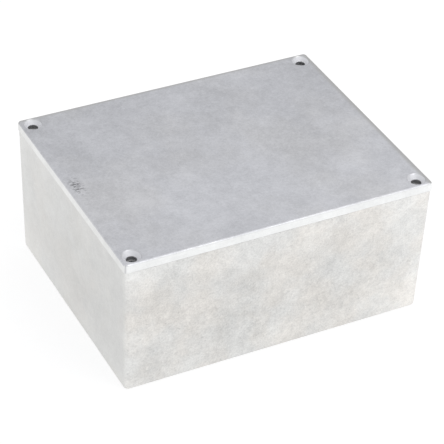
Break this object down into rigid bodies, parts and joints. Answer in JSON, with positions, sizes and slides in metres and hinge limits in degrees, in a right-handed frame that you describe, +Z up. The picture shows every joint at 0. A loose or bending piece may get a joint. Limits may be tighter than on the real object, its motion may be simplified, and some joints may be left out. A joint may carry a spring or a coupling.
{
  "type": "die cast aluminium box",
  "caption": "Rectangular die cast aluminium enclosure with drafted walls, internal corner screw columns and a flat countersunk lid.",
  "frame": {"origin": "middle of the underside, on the surface that the box stands on", "axes": "+X along the long side, +Y along the short side, +Z up through the lid"},
  "size_m": [0.12, 0.0954, 0.056],
  "materials": {
    "body_casting": "natural as-cast, fine bead-blasted grain",
    "lid_casting": "natural as-cast, satin and slightly clouded"
  },
  "bodies": {
    "root": {"body": "body_casting", "lid": "lid_casting"}
  },
  "joints": []
}
